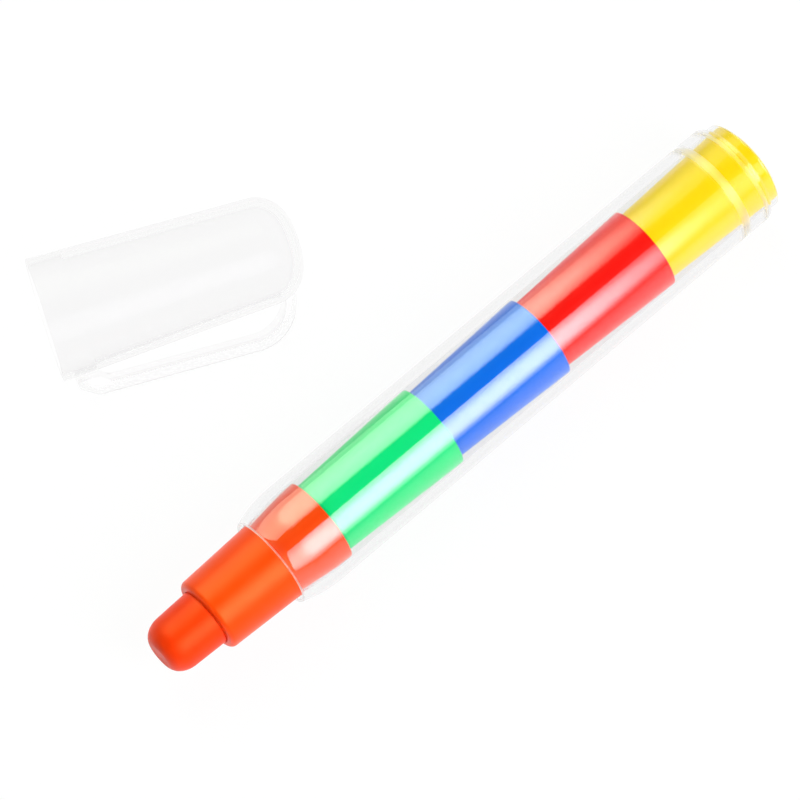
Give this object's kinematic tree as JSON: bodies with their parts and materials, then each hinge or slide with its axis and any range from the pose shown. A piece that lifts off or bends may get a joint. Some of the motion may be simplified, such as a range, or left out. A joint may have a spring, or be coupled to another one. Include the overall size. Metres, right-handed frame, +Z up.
{
  "type": "stackable crayon",
  "caption": "Clear round barrel with a row of nesting crayon segments pushed through it nose to tail, and a clear cap with a pocket clip beside it.",
  "frame": {"origin": "on the table, under the middle of the box round the barrel and the cap", "axes": "+X along the barrel, from the drawing nose towards the rear rim; +Y from the barrel towards the cap; +Z up from the table"},
  "size_m": [0.0988, 0.0576, 0.0162],
  "materials": {
    "clear_plastic": "clear moulded polystyrene, glossy",
    "orange_plastic": "smooth moulded plastic, satin gloss",
    "orange_wax": "moulded wax, soft sheen",
    "green_plastic": "smooth moulded plastic, satin gloss",
    "green_wax": "moulded wax, soft sheen",
    "blue_plastic": "smooth moulded plastic, satin gloss",
    "blue_wax": "moulded wax, soft sheen",
    "red_plastic": "smooth moulded plastic, satin gloss",
    "red_wax": "moulded wax, soft sheen",
    "yellow_plastic": "smooth moulded plastic, satin gloss",
    "yellow_wax": "moulded wax, soft sheen"
  },
  "bodies": {
    "barrel": {"barrel": "clear_plastic"},
    "cap": {"cap": "clear_plastic"},
    "orange_segment": {"orange_holder": "orange_plastic", "orange_crayon": "orange_wax"},
    "green_segment": {"green_holder": "green_plastic", "green_crayon": "green_wax"},
    "blue_segment": {"blue_holder": "blue_plastic", "blue_crayon": "blue_wax"},
    "red_segment": {"red_holder": "red_plastic", "red_crayon": "red_wax"},
    "yellow_segment": {"yellow_holder": "yellow_plastic", "yellow_crayon": "yellow_wax"}
  },
  "joints": [
    {"name": "stack_feed", "type": "slide", "parent": "barrel", "child": "yellow_segment", "axis": [-1, 0, 0], "range_m": [-0.005, 0.018]},
    {"name": "red_nest", "type": "slide", "parent": "yellow_segment", "child": "red_segment", "axis": [-1, 0, 0], "range_m": [-0.0012, 0.012]},
    {"name": "blue_nest", "type": "slide", "parent": "red_segment", "child": "blue_segment", "axis": [-1, 0, 0], "range_m": [-0.0012, 0.012]},
    {"name": "green_nest", "type": "slide", "parent": "blue_segment", "child": "green_segment", "axis": [-1, 0, 0], "range_m": [-0.0012, 0.012]},
    {"name": "orange_pull_out", "type": "slide", "parent": "green_segment", "child": "orange_segment", "axis": [-1, 0, 0], "range_m": [-0.0017, 0.03]},
    {"name": "cap_lift", "type": "slide", "parent": "barrel", "child": "cap", "axis": [0, 0, 1], "range_m": [0, 0.06]}
  ]
}
